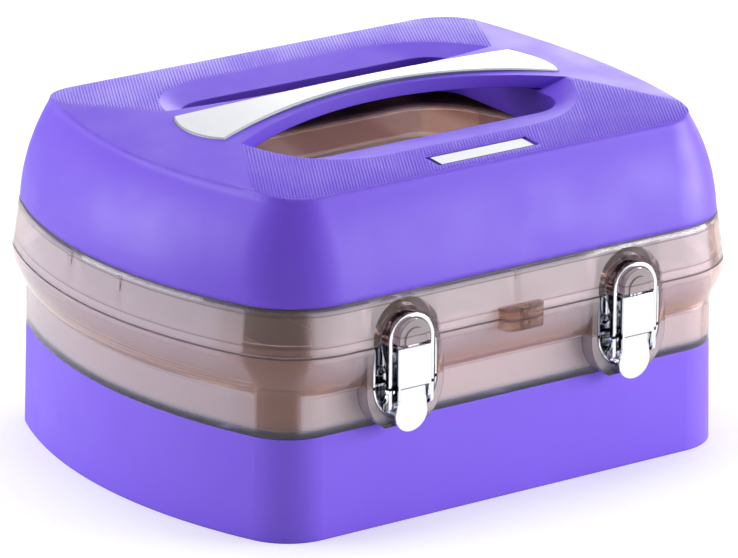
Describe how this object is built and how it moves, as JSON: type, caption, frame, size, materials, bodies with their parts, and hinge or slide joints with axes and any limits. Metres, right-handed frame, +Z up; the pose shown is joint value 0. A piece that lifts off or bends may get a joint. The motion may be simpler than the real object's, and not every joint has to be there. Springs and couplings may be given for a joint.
{
  "type": "nail polish case",
  "caption": "Domed carry case with a clear smoky bowl and lid liner, moulded tub and cover, carrying bar between two finger openings, draw latches, rear hinges and a lift-out tray of cells.",
  "frame": {"origin": "middle of the face that the case stands on", "axes": "+Z up, the latches at the front towards -Y, the carrying bar along X"},
  "size_m": [0.3, 0.2434, 0.1653],
  "materials": {
    "purple_plastic": "satin moulded",
    "smoky_plastic": "clear smoky polycarbonate, polished",
    "bright_metal": "polished nickel",
    "pin_steel": "turned steel",
    "tray_plastic": "thin moulded"
  },
  "bodies": {
    "base": {"base_sleeve": "purple_plastic", "lower_bowl": "smoky_plastic", "latch_base_left": "bright_metal", "latch_base_right": "bright_metal", "bracket_rivets": "bright_metal", "lever_pins": "pin_steel", "hinge_pins": "pin_steel", "base_screws": "pin_steel"},
    "lid": {"lid_shell": "smoky_plastic", "lid_cover": "purple_plastic", "handle_plate": "bright_metal", "badge_plate": "bright_metal", "cover_screws": "pin_steel"},
    "left_lever": {"lever_left": "bright_metal", "bail_pin_left": "pin_steel"},
    "right_lever": {"lever_right": "bright_metal", "bail_pin_right": "pin_steel"},
    "left_bail": {"bail_left": "bright_metal"},
    "right_bail": {"bail_right": "bright_metal"},
    "tray": {"tray": "tray_plastic"}
  },
  "joints": [
    {"name": "lid_hinge", "type": "hinge", "parent": "base", "child": "lid", "pos_m": [0, 0.1188, 0.0862], "axis": [-1, 0, 0], "range_deg": [0, 105]},
    {"name": "left_lever_pivot", "type": "hinge", "parent": "base", "child": "left_lever", "pos_m": [-0.061, -0.1172, 0.08], "axis": [-1, 0, 0], "range_deg": [0, 110]},
    {"name": "left_bail_pivot", "type": "hinge", "parent": "left_lever", "child": "left_bail", "pos_m": [-0.061, -0.116, 0.0586], "axis": [-1, 0, 0], "range_deg": [-110, 0]},
    {"name": "right_lever_pivot", "type": "hinge", "parent": "base", "child": "right_lever", "pos_m": [0.061, -0.1172, 0.08], "axis": [-1, 0, 0], "range_deg": [0, 110]},
    {"name": "right_bail_pivot", "type": "hinge", "parent": "right_lever", "child": "right_bail", "pos_m": [0.061, -0.116, 0.0586], "axis": [-1, 0, 0], "range_deg": [-110, 0]},
    {"name": "tray_lift", "type": "slide", "parent": "base", "child": "tray", "axis": [0, 0, 1], "range_m": [0, 0.018]}
  ],
  "couplings": [
    {"joint": "left_bail_pivot", "follows": "left_lever_pivot", "ratio": -1},
    {"joint": "right_bail_pivot", "follows": "right_lever_pivot", "ratio": -1}
  ]
}
